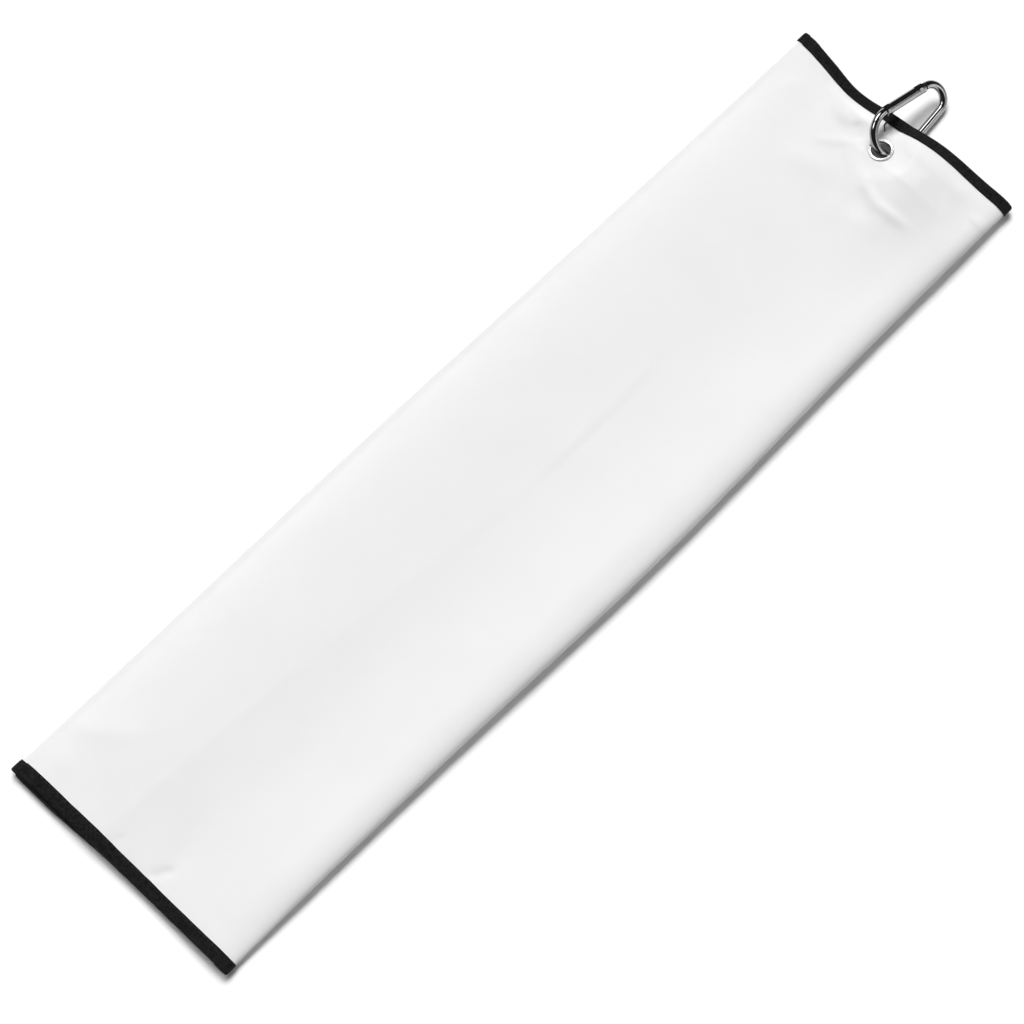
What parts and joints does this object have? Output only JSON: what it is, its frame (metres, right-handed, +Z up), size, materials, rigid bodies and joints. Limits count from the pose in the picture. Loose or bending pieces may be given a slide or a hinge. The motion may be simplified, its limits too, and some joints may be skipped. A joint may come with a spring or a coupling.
{
  "type": "golf towel",
  "caption": "White golf towel folded in three lengthwise with dark bound edges, a metal eyelet at one end and a spring-gate carabiner through it.",
  "frame": {"origin": "on the surface the towel lies on, under the middle of the whole object box", "axes": "+X across the folded towel, +Y along it towards the eyelet and the carabiner, +Z up"},
  "size_m": [0.1306, 0.531, 0.0181],
  "materials": {
    "cloth": "smooth close-knit microfibre, matt",
    "tape": "ribbed woven binding tape, matt",
    "thread": "twisted polyester sewing thread",
    "eyelet_metal": "bright nickel plate, rolled edges",
    "carabiner_metal": "polished nickel plate with fine wear",
    "gate_metal": "polished nickel plate, turned",
    "pin_metal": "headed and cut steel pins",
    "spring_steel": "drawn spring wire"
  },
  "bodies": {
    "towel": {"towel_cloth": "cloth", "top_binding": "tape", "bottom_binding": "tape", "inner_edge_binding": "tape", "outer_edge_binding": "tape", "top_stitching": "thread", "bottom_stitching": "thread", "inner_edge_stitching": "thread", "outer_edge_stitching": "thread", "eyelet": "eyelet_metal", "eyelet_washer": "eyelet_metal"},
    "carabiner": {"carabiner_body": "carabiner_metal"},
    "gate": {"gate": "gate_metal", "hinge_rivet": "pin_metal", "nose_pin": "pin_metal", "gate_spring": "spring_steel"},
    "plunger": {"spring_plunger": "pin_metal"}
  },
  "joints": [
    {"name": "carabiner_swing", "type": "hinge", "parent": "towel", "child": "carabiner", "pos_m": [0.0036, 0.21883, 0.0083], "axis": [0, 0, 1], "range_deg": [-10, 10]},
    {"name": "gate_hinge", "type": "hinge", "parent": "carabiner", "child": "gate", "pos_m": [-0.00449, 0.25366, 0.01172], "axis": [0.6394, 0.0661, 0.766], "range_deg": [0, 18], "stiffness_Nm_per_rad": 0.08, "springref_deg": -17.19},
    {"name": "plunger_slide", "type": "slide", "parent": "gate", "child": "plunger", "axis": [-0.1178, -0.9761, 0.1825], "range_m": [0, 0.0003], "deforming": ["gate_spring"]}
  ],
  "couplings": [
    {"joint": "plunger_slide", "follows": "gate_hinge", "m_per_rad": 0.0008}
  ]
}
